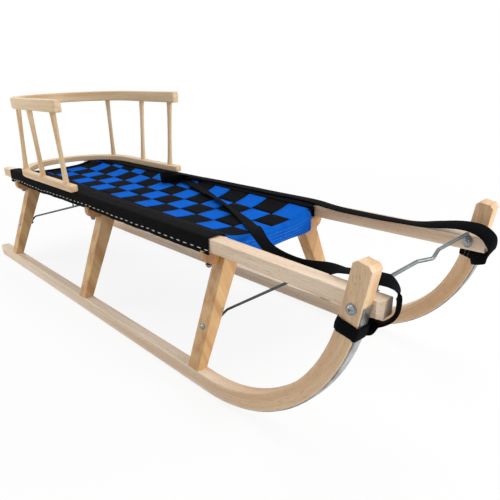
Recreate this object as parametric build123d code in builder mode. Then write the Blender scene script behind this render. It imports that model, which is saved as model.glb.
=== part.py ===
from build123d import *
import os
from math import acos, atan, cos, pi, radians, sin, tan

# Wooden sled with horns: two bent beech runners on steel strips, three trestles,
# two side rails, a woven webbing seat, a backrest and a pull strap.
# Millimetres. +X is the way it travels, +Y its left, +Z up. The origin is on the
# ground under the middle of the side rails.

# ---- driving dimensions ----
overall_length = 1184.0       # side rail, end to end
track_half = 178.5            # outer face of a runner at the ground, from the middle
runner_lean = 3.6             # degrees, each runner leans inwards with height

# steel strip under each runner
strip_width = 14.0
strip_thickness = 2.0
strip_top = 227.0             # upper end of the strip, along the horn

# runner and horn
runner_width = 21.0
runner_depth = 25.0
tail_inset = 18.5             # rear end of a runner, ahead of the rails' rear ends
tail_round = 15.0
bend_x = 326.5                # where a runner starts to rise
bend_radius = 256.0           # underside of the bend
bend_angle = 79.7             # degrees
horn_height = 274.0           # top of the horn above the runner's underside, along its lean
horn_chamfer = 5.0
wood_edge_round = 1.5         # arrises of runners, rails and legs

# side rails
rail_width = 23.5
rail_depth = 21.0
rail_top = 233.0
rail_half = 134.5             # outer face at the start of the bend, from the middle
rail_taper = 0.009            # how fast the rails close in towards the rear
rail_seat_in_horn = 0.5       # how deep a rail is let into its horn, at the bolt
rail_end_round = 8.0
rail_nose_chamfer = 6.0        # outer corner of a rail's front end

# trestles: their rear faces along the sled
trestle_x = {"rear": -489.0, "middle": -101.0, "front": 277.0}
beam_thickness = 16.0
beam_depth = 23.0
beam_half = 137.0
beam_end_round = 14.0
leg_thickness = 25.0
leg_foot_width = 20.0
leg_head_outer = 113.0        # outer edge of a leg's shoulder under the beam
leg_head_width = 33.0
tenon_length = 14.0
tenon_thickness = 12.0
tenon_width = 9.0
joint_clearance = 0.15

# fasteners
horn_bolt_hole = 6.4
horn_bolt_height = 222.7      # along the horn, above the runner's underside
beam_bolt_hole = 5.4
beam_bolt_inset = 6.5         # from the rail's outer face
brace_bolt_hole = 5.4
brace_bolt_z = {"rear": 101.0, "front": 92.0}

# rods
brace_diameter = 4.0
brace_eye_diameter = 13.0
brace_eye_thickness = 2.5
brace_socket_depth = 10.0
brace_socket_inset = 11.0     # rod socket from the rail's outer face
brace_sides = {"rear": ("right", "left"), "front": ("right",)}   # the left front brace is missing
brace_reach = {"rear": 340.0, "front": 158.0}   # how far forward of the leg each brace ends
brace_lift = {"rear": 17.0, "front": 22.0}      # how far a brace climbs beside its leg
brace_knee_drop = 4.0         # a brace turns up into the rail this far below it
brace_bend_radius = {"low": 10.0, "knee": 6.0}
brace_hanger_back = 58.0      # small hanger on the rear brace, behind its upper end
brace_hanger_diameter = 3.0
tie_diameter = 5.0
tie_rise = 13.0               # the tie rod above its bolts
tie_kink_half = 28.0
tie_kink_forward = 7.0
tie_tab_width = 12.0
tie_tab_thickness = 2.5

# seat
seat_front_x = 297.5
seat_rear_x = -531.0
sleeve_thickness = 2.4
web_thickness = 3.0
web_sag = 15.0
web_over_beam = 1.5           # underside of the webbing's middle above the cross-beams
wrap_half = 85.0
wrap_thickness = 3.0
wrap_drop = 45.0

# backrest: a lower and a top bow, each two straight arms and a half circle
back_front_x = -141.0
back_arc_x = {"lower": -378.5, "top": -341.5}   # where each half circle starts
back_half = {"lower": 142.0, "top": 150.0}      # outer face of the arms
back_bar_width = {"lower": 18.0, "top": 18.0}
back_bar_depth = {"lower": 14.0, "top": 24.0}
back_top_z = 420.0
back_edge_round = 2.5
spindle_end_diameter = 12.5
spindle_waist_diameter = 9.5
spindle_x = {"front": -177.0, "middle": -298.0}  # feet of the spindles on the straight arms
spindle_forward = 8.0                            # a spindle's top ahead of its foot
spindle_bow_angle = {"lower": 24.0, "top": 34.0}  # degrees round the half circle, for the rear pair
spindle_tenon_diameter = 7.0
spindle_tenon_length = 9.0

# pull strap
band_width = 20.0
band_thickness = 2.2
band_height = 198.5           # middle of the loop, along the horn
band_tilt = 84.0              # degrees, direction of the loop's axis in side view
band_clearance = 0.4
pull_diameter = 8.0

os.makedirs("parts", exist_ok=True)


def save(part, node):
    part.label = node
    export_step(part, f"parts/{node}.step")
    print(f"{node:28s} {part.volume / 1000:9.1f} cm3")


# ---- places worked out from the sizes above ----
lean = radians(runner_lean)
rail_rear_x = -overall_length / 2
rail_front_x = overall_length / 2
tail_x = rail_rear_x + tail_inset
rail_bottom = rail_top - rail_depth
beam_bottom = rail_bottom - beam_depth
# the strip's inner lower edge touches the ground
wood_rise = strip_thickness * cos(lean) + (runner_width + strip_width) / 2 * sin(lean)
runner_plane = Plane(origin=(0, -track_half, wood_rise), x_dir=(1, 0, 0),
                     z_dir=(0, -cos(lean), sin(lean)))


def runner_point(x, along, inward):
    """A point of the right runner: along its lean, and inward from its outer face."""
    return Vector(x, -track_half + along * sin(lean) + inward * cos(lean),
                  wood_rise + along * cos(lean) - inward * sin(lean))


horn_angle = radians(bend_angle)
bolt_run = (horn_bolt_height - bend_radius * (1 - cos(horn_angle))) / sin(horn_angle)
bolt_x = bend_x + (bend_radius - runner_depth / 2) * sin(horn_angle) + bolt_run * cos(horn_angle)
bolt_point = runner_point(bolt_x, horn_bolt_height, 0)
# the rails open towards the horns, so that each is let into its horn
horn_inner_face = -runner_point(bolt_x, horn_bolt_height, runner_width).Y
rail_flare = (horn_inner_face + rail_seat_in_horn - rail_half) / (bolt_x - bend_x)


def rail_outer(x):
    """Distance of a rail's outer face from the middle."""
    slope = rail_flare if x > bend_x else rail_taper
    return rail_half + slope * (x - bend_x)


def mirrored(part):
    return part.mirror(Plane.XZ)


def runner_profile(inset_bottom, depth, start_x, top_along):
    """Closed outline of the runner's side: tail, straight, bend and horn."""
    outer = bend_radius + inset_bottom
    inner = outer - depth
    run = (top_along - bend_radius * (1 - cos(horn_angle))) / sin(horn_angle)
    with BuildLine() as outline:
        floor = Line((start_x, -inset_bottom), (bend_x, -inset_bottom))
        rise = CenterArc((bend_x, bend_radius), outer, -90, bend_angle)
        horn = Line(rise @ 1, (rise @ 1) + Vector(cos(horn_angle), sin(horn_angle)) * run)
        back = CenterArc((bend_x, bend_radius), inner, bend_angle - 90, -bend_angle)
        inside = Line((back @ 0) + Vector(cos(horn_angle), sin(horn_angle)) * run, back @ 0)
        Line(horn @ 1, inside @ 0)
        deck = Line(back @ 1, (start_x, depth - inset_bottom))
        Line(deck @ 1, floor @ 0)
    return outline


# ---- rails' and legs' shapes that other pieces are cut to ----
with BuildPart() as rail_blank:
    with BuildSketch(Plane.XY.offset(rail_bottom)):
        with BuildLine():
            Polyline(
                (rail_rear_x, -rail_outer(rail_rear_x)),
                (bend_x, -rail_half),
                (rail_front_x, -rail_outer(rail_front_x)),
                (rail_front_x, -rail_outer(rail_front_x) + rail_width),
                (bend_x, -rail_half + rail_width),
                (rail_rear_x, -rail_outer(rail_rear_x) + rail_width),
                close=True,
            )
        make_face()
    extrude(amount=rail_depth)
rail_shape = rail_blank.part

# foot of a leg on the runner's upper face, and its tenon
foot_outer = runner_point(0, runner_depth, 0)
foot_inner = runner_point(0, runner_depth, leg_foot_width)
outer_slope = (-leg_head_outer - foot_outer.Y) / (beam_bottom - foot_outer.Z)
head_inner = -leg_head_outer + leg_head_width
inner_slope = (head_inner - foot_inner.Y) / (beam_bottom - foot_inner.Z)


def leg_outer_y(z):
    return foot_outer.Y + outer_slope * (z - foot_outer.Z)


def leg_inner_y(z):
    return foot_inner.Y + inner_slope * (z - foot_inner.Z)


def tenon_plane(x):
    """On the runner's upper face, looking down into the runner."""
    origin = runner_point(x, runner_depth, leg_foot_width / 2)
    return Plane(origin=origin, x_dir=(1, 0, 0), z_dir=(0, -sin(lean), -cos(lean)))


# ---- runners ----
with BuildPart() as runner:
    with BuildSketch(runner_plane):
        with BuildLine():
            add(runner_profile(0, runner_depth, tail_x, horn_height).line)
        make_face()
    extrude(amount=-runner_width)
    tail = runner.edges().filter_by(GeomType.LINE).sort_by(Axis.X)
    tail_edges = [e for e in tail if abs(e.center().X - tail_x) < 0.1 and abs(e.length - runner_width) < 0.1]
    fillet(ShapeList(tail_edges).sort_by(Axis.Z)[0], radius=tail_round)
    top = [e for e in runner.edges().filter_by(GeomType.LINE) if abs(e.length - runner_width) < 0.1]
    chamfer(ShapeList(top).sort_by(Axis.Z)[-2:], length=horn_chamfer)
    fillet(runner.edges().filter_by(GeomType.LINE).sort_by(SortBy.LENGTH)[-4:], radius=wood_edge_round)
    # seat for the side rail on the horn's inner face
    add(rail_shape, mode=Mode.SUBTRACT)
    # mortises for the legs' tenons
    for rear_face in trestle_x.values():
        with BuildSketch(tenon_plane(rear_face + leg_thickness / 2)):
            Rectangle(tenon_thickness + 2 * joint_clearance, tenon_width + 2 * joint_clearance)
        extrude(amount=tenon_length + joint_clearance, mode=Mode.SUBTRACT)
    # bolt hole through the horn
    with BuildSketch(Plane(origin=bolt_point, x_dir=(1, 0, 0), z_dir=(0, 1, 0))):
        Circle(horn_bolt_hole / 2)
    extrude(amount=2 * runner_width, both=True, mode=Mode.SUBTRACT)
save(runner.part, "runner_right")
save(mirrored(runner.part), "runner_left")

# ---- steel strips ----
with BuildPart() as strip:
    strip_plane = runner_plane.offset(-(runner_width - strip_width) / 2)
    with BuildSketch(strip_plane):
        with BuildLine():
            add(runner_profile(strip_thickness, strip_thickness, tail_x + tail_round, strip_top).line)
        make_face()
    extrude(amount=-strip_width)
save(strip.part, "runner_strip_right")
save(mirrored(strip.part), "runner_strip_left")

# ---- side rails ----
brace_end = {}
for where, rear_face in trestle_x.items():
    if where in brace_reach:
        x = rear_face + leg_thickness / 2 + brace_reach[where]
        brace_end[where] = (x, -rail_outer(x) + brace_socket_inset)

hanger_x = brace_end["rear"][0] - brace_hanger_back
hanger_y = -rail_outer(hanger_x) + brace_socket_inset


def rail_for(side):
    """Right-hand rail with the sockets that its side's braces need."""
    with BuildPart() as rail:
        add(rail_shape)
        upright = rail.edges().filter_by(Axis.Z).sort_by(Axis.X)
        fillet(upright[:2], radius=rail_end_round)
        chamfer(upright[-2:].sort_by(Axis.Y)[0], length=rail_nose_chamfer)
        fillet(rail.edges().filter_by(GeomType.LINE).sort_by(SortBy.LENGTH)[-8:], radius=wood_edge_round)
        for rear_face in trestle_x.values():
            x = rear_face + beam_thickness / 2
            with Locations((x, -rail_outer(x) + beam_bolt_inset, rail_top)):
                Hole(beam_bolt_hole / 2, depth=rail_depth)
        with BuildSketch(Plane(origin=bolt_point, x_dir=(1, 0, 0), z_dir=(0, 1, 0))):
            Circle(horn_bolt_hole / 2)
        extrude(amount=3 * runner_width, mode=Mode.SUBTRACT)
        for where, place in brace_end.items():
            if side in brace_sides[where]:
                with BuildSketch(Plane.XY.offset(rail_bottom)):
                    with Locations(place):
                        Circle(brace_diameter / 2 + joint_clearance)
                extrude(amount=brace_socket_depth + joint_clearance, mode=Mode.SUBTRACT)
        with BuildSketch(Plane.XY.offset(rail_bottom)):
            with Locations((hanger_x, hanger_y)):
                Circle(brace_hanger_diameter / 2 + joint_clearance)
        extrude(amount=brace_socket_depth / 2 + joint_clearance, mode=Mode.SUBTRACT)
    return rail.part


save(rail_for("right"), "rail_right")
save(mirrored(rail_for("left")), "rail_left")

# ---- cross-beams ----
for where, rear_face in trestle_x.items():
    with BuildPart() as beam:
        with BuildSketch(Plane.YZ.offset(rear_face)):
            with Locations((0, beam_bottom + beam_depth / 2)):
                Rectangle(2 * beam_half, beam_depth)
        extrude(amount=beam_thickness)
        low = beam.edges().filter_by(Axis.X).group_by(Axis.Z)[0]
        fillet(low, radius=beam_end_round)
        fillet(beam.edges().filter_by(Axis.Y), radius=wood_edge_round)
        x = rear_face + beam_thickness / 2
        y = rail_outer(x) - beam_bolt_inset
        with Locations((x, y, rail_bottom), (x, -y, rail_bottom)):
            Hole(beam_bolt_hole / 2, depth=beam_depth)
    save(beam.part, f"crossbeam_{where}")

# ---- legs ----
def leg_at(where, has_brace):
    """Right-hand leg of a trestle."""
    rear_face = trestle_x[where]
    with BuildPart() as leg:
        with BuildSketch(Plane.YZ.offset(rear_face)):
            with BuildLine():
                Polyline(
                    (foot_outer.Y, foot_outer.Z),
                    (leg_outer_y(rail_bottom), rail_bottom),
                    (leg_inner_y(rail_bottom), rail_bottom),
                    (foot_inner.Y, foot_inner.Z),
                    close=True,
                )
            make_face()
        extrude(amount=leg_thickness)
        fillet(leg.edges().sort_by(SortBy.LENGTH)[-4:], radius=wood_edge_round)
        # the beam sits on the leg's shoulder, behind its cheek
        with BuildSketch(Plane.YZ.offset(rear_face)):
            with Locations((-beam_half / 2, beam_bottom + beam_depth / 2)):
                Rectangle(beam_half, beam_depth)
        extrude(amount=beam_thickness, mode=Mode.SUBTRACT)
        with BuildSketch(tenon_plane(rear_face + leg_thickness / 2)):
            Rectangle(tenon_thickness, tenon_width)
        extrude(amount=tenon_length)
        if has_brace:
            x = rear_face + leg_thickness / 2
            z = brace_bolt_z[where]
            middle_y = (leg_outer_y(z) + leg_inner_y(z)) / 2
            with BuildSketch(Plane(origin=(x, middle_y, z), x_dir=(1, 0, 0), z_dir=(0, 1, 0))):
                Circle(brace_bolt_hole / 2)
            extrude(amount=leg_thickness, both=True, mode=Mode.SUBTRACT)
    return leg.part


for where in trestle_x:
    sides = brace_sides.get(where, ())
    save(leg_at(where, "right" in sides), f"leg_{where}_right")
    save(mirrored(leg_at(where, "left" in sides)), f"leg_{where}_left")

# ---- brace rods from the legs up to the side rails ----
eye_tilt = atan(inner_slope)
for where, (end_x, end_y) in brace_end.items():
    start_x = trestle_x[where] + leg_thickness / 2
    face = Vector(start_x, leg_inner_y(brace_bolt_z[where]), brace_bolt_z[where])
    out = Vector(0, cos(eye_tilt), -sin(eye_tilt))
    eye_plane = Plane(origin=face, x_dir=(1, 0, 0), z_dir=out)
    knee = Vector(end_x, end_y, rail_bottom - brace_knee_drop)
    tip = Vector(end_x, end_y, rail_bottom + brace_socket_depth)
    # the rod lies along the leg's inner face until it is clear of the leg
    past_leg = leg_thickness / 2 + brace_diameter
    lift = brace_lift[where]
    along_leg = Vector(past_leg, lift * inner_slope, lift).normalized()
    beside = face + out * (brace_diameter / 2 + joint_clearance)
    start = beside + along_leg * (brace_eye_diameter / 2 - brace_diameter / 2)
    clear = beside + Vector(past_leg, lift * inner_slope, lift)
    with BuildPart() as brace:
        with BuildSketch(eye_plane):
            Circle(brace_eye_diameter / 2)
        extrude(amount=brace_eye_thickness)
        with BuildLine() as route:
            FilletPolyline(start, clear, knee, tip, radius=[brace_bend_radius["low"], brace_bend_radius["knee"]])
        with BuildSketch(Plane(origin=start, z_dir=route.line % 0)):
            Circle(brace_diameter / 2)
        sweep(path=route.line)
        if where == "rear":
            share = (hanger_x - clear.X) / (knee.X - clear.X)
            low = clear + (knee - clear) * share
            with BuildSketch(Plane.XY.offset(low.Z)):
                with Locations((hanger_x, hanger_y)):
                    Circle(brace_hanger_diameter / 2)
            extrude(amount=rail_bottom + brace_socket_depth / 2 - low.Z)
        with BuildSketch(eye_plane):
            Circle(brace_bolt_hole / 2)
        extrude(amount=brace_eye_thickness * 3, both=True, mode=Mode.SUBTRACT)
    save(brace.part, f"brace_{where}_right")
    if "left" in brace_sides[where]:
        save(mirrored(brace.part), f"brace_{where}_left")

# ---- tie rod between the horns ----
tie_x = bolt_x
tie_slope = Vector(1, -rail_flare, 0).normalized()
tie_face = Vector(tie_x, -rail_outer(tie_x) + rail_width, bolt_point.Z)
tie_normal = Vector(rail_flare, 1, 0).normalized()
with BuildPart() as tie_rod:
    tab_plane = Plane(origin=tie_face, x_dir=tie_slope, z_dir=tie_normal)
    # the plane's own y points up or down, the tab is drawn along it
    up = 1 if tab_plane.y_dir.Z > 0 else -1
    with BuildSketch(tab_plane):
        SlotCenterToCenter(6, tie_tab_width, rotation=90)
    extrude(amount=tie_tab_thickness)
    corner = Vector(tie_x, tie_face.Y + tie_diameter / 2, bolt_point.Z + tie_rise)
    foot = Vector(corner.X, corner.Y, bolt_point.Z + 4)
    half = [
        foot,
        corner,
        Vector(tie_x, -tie_kink_half, corner.Z),
        Vector(tie_x + tie_kink_forward, 0, corner.Z - 2),
    ]
    other = [Vector(v.X, -v.Y, v.Z) for v in reversed(half[:-1])]
    with BuildLine() as tie_route:
        FilletPolyline(*half, *other, radius=[6, 14, 14, 14, 6])
    with BuildSketch(Plane(origin=foot, z_dir=(0, 0, 1))):
        Circle(tie_diameter / 2)
    sweep(path=tie_route.line)
    mirror(about=Plane.XZ)
    with BuildSketch(tab_plane):
        Circle(horn_bolt_hole / 2)
    extrude(amount=tie_tab_thickness * 3, both=True, mode=Mode.SUBTRACT)
    with BuildSketch(Plane(origin=(tie_face.X, -tie_face.Y, tie_face.Z), z_dir=(0, 1, 0))):
        Circle(horn_bolt_hole / 2)
    extrude(amount=tie_tab_thickness * 3, both=True, mode=Mode.SUBTRACT)
save(tie_rod.part, "front_tie_rod")

# ---- seat: a sleeve over each rail and the webbing between them ----
sleeve_top = rail_top + sleeve_thickness


def flap(x, outside):
    """Face of the sleeve over the right rail."""
    if outside:
        return -rail_outer(x) - sleeve_thickness
    return -rail_outer(x) + rail_width + sleeve_thickness


with BuildPart() as sleeve:
    with BuildSketch(Plane.XY.offset(rail_bottom)):
        with BuildLine():
            Polyline(
                (seat_rear_x, flap(seat_rear_x, True)),
                (seat_front_x, flap(seat_front_x, True)),
                (seat_front_x, flap(seat_front_x, False)),
                (seat_rear_x, flap(seat_rear_x, False)),
                close=True,
            )
        make_face()
    extrude(amount=rail_depth + sleeve_thickness)
    add(rail_shape, mode=Mode.SUBTRACT)
save(sleeve.part, "seat_sleeve_right")
save(mirrored(sleeve.part), "seat_sleeve_left")

web_low_z = rail_bottom + web_over_beam + web_thickness
web_edge_z = web_low_z + web_sag


def web_section(x):
    """Cross-section of the webbing at x, as points from right to left."""
    w = -flap(x, False)
    return [(-w, web_edge_z), (-0.6 * w, web_low_z + 0.18 * web_sag), (0, web_low_z),
            (0.6 * w, web_low_z + 0.18 * web_sag), (w, web_edge_z)]


with BuildPart() as webbing:
    for x in (seat_rear_x, seat_front_x):
        top_points = web_section(x)
        with BuildSketch(Plane.YZ.offset(x)):
            with BuildLine():
                upper = Spline(*top_points)
                lower = Spline(*[(y, z - web_thickness) for y, z in top_points])
                Line(upper @ 0, lower @ 0)
                Line(upper @ 1, lower @ 1)
            make_face()
    loft(ruled=True)
    # the front hem folds down in front of the front trestle
    wrap_face = trestle_x["front"] + leg_thickness + 0.3
    with BuildSketch(Plane.YZ.offset(seat_front_x)):
        with BuildLine():
            top_points = web_section(seat_front_x)
            upper = Spline(*top_points)
            lower = Spline(*[(y, z - web_thickness) for y, z in top_points])
            Line(upper @ 0, lower @ 0)
            Line(upper @ 1, lower @ 1)
        make_face()
        with Locations((0, web_low_z)):
            Rectangle(2 * wrap_half, 60, mode=Mode.INTERSECT)
    extrude(amount=wrap_face + wrap_thickness - seat_front_x)
    with BuildSketch(Plane.YZ.offset(wrap_face)):
        with BuildLine():
            top_points = web_section(seat_front_x)
            upper = Spline(*top_points)
            drop_z = web_low_z - wrap_drop / 2
            Polyline(upper @ 0, ((upper @ 0).X, drop_z), ((upper @ 1).X, drop_z), upper @ 1)
        make_face()
        with Locations((0, web_low_z)):
            Rectangle(2 * wrap_half, 120, mode=Mode.INTERSECT)
    extrude(amount=wrap_thickness)
save(webbing.part, "seat_webbing")

# ---- backrest ----
back_z = {"lower": sleeve_top, "top": back_top_z - back_bar_depth["top"]}
spindles = {}
for where, x in spindle_x.items():
    spindles[where] = (
        Vector(x, -back_half["lower"] + back_bar_width["lower"] / 2, back_z["lower"] + back_bar_depth["lower"]),
        Vector(x + spindle_forward, -back_half["top"] + back_bar_width["top"] / 2, back_z["top"]),
    )
rear_pair = []
for bow in ("lower", "top"):
    angle = radians(spindle_bow_angle[bow])
    radius = back_half[bow] - back_bar_width[bow] / 2
    z = back_z["lower"] + back_bar_depth["lower"] if bow == "lower" else back_z["top"]
    rear_pair.append(Vector(back_arc_x[bow] - radius * sin(angle), -radius * cos(angle), z))
spindles["rear"] = tuple(rear_pair)

for bow in ("lower", "top"):
    outer = back_half[bow]
    inner = outer - back_bar_width[bow]
    with BuildPart() as bar:
        with BuildSketch(Plane.XY.offset(back_z[bow])):
            with BuildLine():
                arm = Line((back_front_x, -outer), (back_arc_x[bow], -outer))
                round_back = CenterArc((back_arc_x[bow], 0), outer, -90, -180)
                far_arm = Line((back_arc_x[bow], outer), (back_front_x, outer))
                far_end = Line((back_front_x, outer), (back_front_x, inner))
                far_inside = Line((back_front_x, inner), (back_arc_x[bow], inner))
                inside_back = CenterArc((back_arc_x[bow], 0), inner, 90, 180)
                inside = Line((back_arc_x[bow], -inner), (back_front_x, -inner))
                Line((back_front_x, -inner), (back_front_x, -outer))
            make_face()
        extrude(amount=back_bar_depth[bow])
        end_edges = bar.edges().filter_by(Axis.Z).group_by(Axis.X)[-1]
        fillet(end_edges, radius=2 * back_edge_round)
        outlines = bar.faces().filter_by(Axis.Z).edges()
        fillet(outlines, radius=back_edge_round)
        for foot, head in spindles.values():
            axis = (head - foot).normalized()
            for side in (1, -1):
                if bow == "lower":
                    origin = foot
                    direction = axis * -1
                else:
                    origin = head
                    direction = axis
                origin = Vector(origin.X, origin.Y * side, origin.Z)
                direction = Vector(direction.X, direction.Y * side, direction.Z)
                with BuildSketch(Plane(origin=origin - direction * 3, z_dir=direction)):
                    Circle(spindle_tenon_diameter / 2 + joint_clearance)
                extrude(amount=spindle_tenon_length + 3 + joint_clearance, mode=Mode.SUBTRACT)
    save(bar.part, "backrest_lower_rail" if bow == "lower" else "backrest_top_rail")

for where, (foot, head) in spindles.items():
    axis = (head - foot).normalized()
    length = (head - foot).length
    spare = 3.0
    with BuildPart() as spindle:
        side_dir = axis.cross(Vector(0, 1, 0)).normalized()
        profile_plane = Plane(origin=foot, x_dir=side_dir, z_dir=side_dir.cross(axis))
        with BuildSketch(profile_plane):
            with BuildLine():
                start = Vector(spindle_end_diameter / 2, -spare)
                end = Vector(spindle_end_diameter / 2, length + spare)
                ThreePointArc(start, (spindle_waist_diameter / 2, length / 2), end)
                Polyline(end, (0, length + spare), (0, -spare), start)
            make_face()
        revolve(axis=Axis(foot, axis))
        # the bows' faces are level, so both ends are cut level
        with BuildSketch(Plane.XY.offset(foot.Z)):
            with Locations((foot.X, foot.Y)):
                Rectangle(60, 60)
        extrude(amount=head.Z - foot.Z, mode=Mode.INTERSECT)
        with BuildSketch(Plane(origin=foot + axis, z_dir=axis * -1)):
            Circle(spindle_tenon_diameter / 2)
        extrude(amount=spindle_tenon_length + 1)
        with BuildSketch(Plane(origin=head - axis, z_dir=axis)):
            Circle(spindle_tenon_diameter / 2)
        extrude(amount=spindle_tenon_length + 1)
    save(spindle.part, f"backrest_spindle_{where}_right")
    save(mirrored(spindle.part), f"backrest_spindle_{where}_left")

# ---- pull strap: a loop sewn round each horn and the strap between them ----
band_a = radians(band_tilt)
band_mid = (bend_radius + strip_thickness + bend_radius - runner_depth) / 2
band_bend = acos((bend_radius - band_height) / band_mid)
band_centre = runner_point(bend_x + band_mid * sin(band_bend), band_height, runner_width / 2)
inward_dir = Vector(0, cos(lean), -sin(lean))
rising = Vector(cos(band_a), sin(lean) * sin(band_a), cos(lean) * sin(band_a))
band_plane = Plane(origin=band_centre - rising * (band_width / 2), x_dir=inward_dir, z_dir=rising)
band_inner_w = runner_width + 2 * band_clearance
band_inner_d = runner_depth + strip_thickness + 2 * band_clearance
with BuildPart() as band:
    with BuildSketch(band_plane):
        RectangleRounded(band_inner_w + 2 * band_thickness, band_inner_d + 2 * band_thickness, 3)
    extrude(amount=band_width)
    # the loop follows the bent wood and the strip inside it
    with BuildSketch(runner_plane.offset(band_clearance)):
        with BuildLine():
            add(runner_profile(strip_thickness + band_clearance, band_inner_d, bend_x - 50, horn_height).line)
        make_face()
    extrude(amount=-band_inner_w, mode=Mode.SUBTRACT)
save(band.part, "strap_band_right")
save(mirrored(band.part), "strap_band_left")

rest = pull_diameter / 2
rail_lie = rail_top + rest + 0.5
seat_lie = sleeve_top + rest + 0.5
start = band_centre + inward_dir * (band_inner_w / 2 + band_thickness + rest + 0.4)
end = Vector(start.X, -start.Y, start.Z)


def over_web(x, y, lift=1.5):
    """A point of the strap lying on the webbing."""
    half_w = -flap(x, False)
    share = min(abs(y) / half_w, 1)
    sag = web_sag * (1 - share ** 2)
    return Vector(x, y, web_edge_z - sag + rest + lift)


route = [
    start,
    Vector(579, -134, 197),
    Vector(592.5, -130, 204.5),
    Vector(600.5, -127, 214.5),
    Vector(601, -123, 229),
    Vector(595.5, -118.5, 239.5),
    Vector(583, -117, 246),
    Vector(567, -116, 248),
    Vector(548, -118, 247),
    Vector(526, -120.5, 243.5),
    Vector(500, -122, rail_lie + 2),
    Vector(466, -122, rail_lie),
    Vector(430, -119, rail_lie),
    Vector(392, -109, rail_lie + 0.4),
    Vector(358, -88, rail_lie - 2),
    Vector(330, -66, web_low_z + 12),
    over_web(300, -46, 3),
    over_web(262, -25),
    over_web(220, -4),
    over_web(172, 17),
    over_web(122, 36),
    over_web(70, 55, 2),
    over_web(18, 72, 2),
    over_web(-36, 86, 2.5),
    over_web(-88, 92, 4),
    over_web(-122, 84, 5),
    over_web(-136, 66, 4),
    over_web(-122, 50, 4),
    over_web(-98, 50, 6),
    over_web(-80, 66, 9),
    Vector(-72, 88, seat_lie),
    Vector(-52, 107, seat_lie + 3),
    Vector(-18, 115, seat_lie),
    Vector(28, 117.5, seat_lie),
    Vector(78, 117, seat_lie + 0.3),
    Vector(130, 118.5, seat_lie),
    Vector(182, 118, seat_lie + 0.3),
    Vector(236, 120, seat_lie),
    Vector(290, 120.5, seat_lie + 0.5),
    Vector(340, 122, seat_lie),
    Vector(392, 122, rail_lie + 0.5),
    Vector(444, 124.5, rail_lie),
    Vector(492, 126.5, rail_lie + 0.4),
    Vector(526, 123, 243.5),
    Vector(550, 120, 247.5),
    Vector(569, 117, 248),
    Vector(585, 117, 246),
    Vector(596, 118.5, 239.5),
    Vector(601, 123, 229),
    Vector(600.5, 127, 214.5),
    Vector(592.5, 130.5, 204.5),
    Vector(579, 134, 197),
    end,
]


def arc_radii(points):
    """Largest radius at each corner that uses under half of the shorter run beside it."""
    radii = []
    for before, here, after in zip(points, points[1:], points[2:]):
        back = (here - before).length
        ahead = (after - here).length
        turn = radians((here - before).get_angle(after - here))
        radii.append(0.45 * min(back, ahead) / tan(turn / 2))
    return radii


pull_radii = arc_radii(route)
with BuildPart() as pull:
    with BuildLine() as pull_route:
        FilletPolyline(*route, radius=pull_radii)
    with BuildSketch(Plane(origin=pull_route.line @ 0, z_dir=pull_route.line % 0)):
        Circle(pull_diameter / 2)
    sweep(path=pull_route.line)
save(pull.part, "pull_strap")
pull_length = sum(edge.length for edge in pull_route.edges())
print("pull_strap: length", round(pull_length, 1), "mm")
print("pull_strap: volume over section x length",
      round(pull.part.volume / (pi * pull_diameter ** 2 / 4 * pull_length), 3))
print("pull_strap radii:", [round(r, 1) for r in pull_radii])
print("pull_strap runs:", [round((b - a).length, 1) for a, b in zip(route, route[1:])])
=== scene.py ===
# %% [markdown]
# # A wooden sled with horns
# The sled is two bent beech runners, three trestles, two side rails, a seat woven
# from webbing, a light backrest and a pull strap. The wooden and steel parts come
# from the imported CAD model, and keep their shape. What is soft, small or repeated
# is made here: the webbing, the sleeves, the strap, the stitches and the bolts.

# %% Load the fixed frame
import math

import bmesh
import bpy
from mathutils import Matrix, Vector


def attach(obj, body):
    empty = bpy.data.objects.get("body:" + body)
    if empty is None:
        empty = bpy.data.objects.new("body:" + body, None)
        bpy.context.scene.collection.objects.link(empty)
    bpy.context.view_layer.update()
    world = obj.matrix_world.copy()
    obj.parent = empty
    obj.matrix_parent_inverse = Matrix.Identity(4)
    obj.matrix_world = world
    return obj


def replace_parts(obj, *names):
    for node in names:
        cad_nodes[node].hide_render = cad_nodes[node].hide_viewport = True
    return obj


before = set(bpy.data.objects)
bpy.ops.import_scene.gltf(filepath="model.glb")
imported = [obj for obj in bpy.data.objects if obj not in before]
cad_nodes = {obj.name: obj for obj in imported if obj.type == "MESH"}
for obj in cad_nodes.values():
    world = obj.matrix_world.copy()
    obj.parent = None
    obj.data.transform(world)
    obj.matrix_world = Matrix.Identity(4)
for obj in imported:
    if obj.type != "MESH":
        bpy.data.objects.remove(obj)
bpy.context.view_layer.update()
print("CAD nodes:", len(cad_nodes))

# %% [markdown]
# ## Camera
# The sled is seen from its front right corner and a little above. A 35 mm lens from
# about a metre gives the strong foreshortening of a product picture.

# %% Camera
MM = 0.001


def view_camera(place, forward, up, lens):
    camera_data = bpy.data.cameras.new("product_camera")
    camera_data.lens = lens
    camera_data.sensor_width = 36.0
    camera = bpy.data.objects.new("product_camera", camera_data)
    bpy.context.collection.objects.link(camera)
    back = -Vector(forward).normalized()
    side = Vector(up).cross(back).normalized()
    upright = back.cross(side)
    camera.matrix_world = Matrix.Translation(place) @ Matrix((side, upright, back)).transposed().to_4x4()
    bpy.context.scene.camera = camera
    return camera


camera = view_camera(
    place=(0.82968, -0.55432, 0.46704),
    forward=(-0.68134, 0.64262, -0.35046),
    up=(-0.23241, 0.26409, 0.93608),
    lens=35.1,
)
print("camera stands at", tuple(round(v, 3) for v in camera.location))

# %% [markdown]
# ## Sizes that the soft pieces share with the sled
# These repeat the sled's own sizes, so that fabric lies on wood and not in it.

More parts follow.
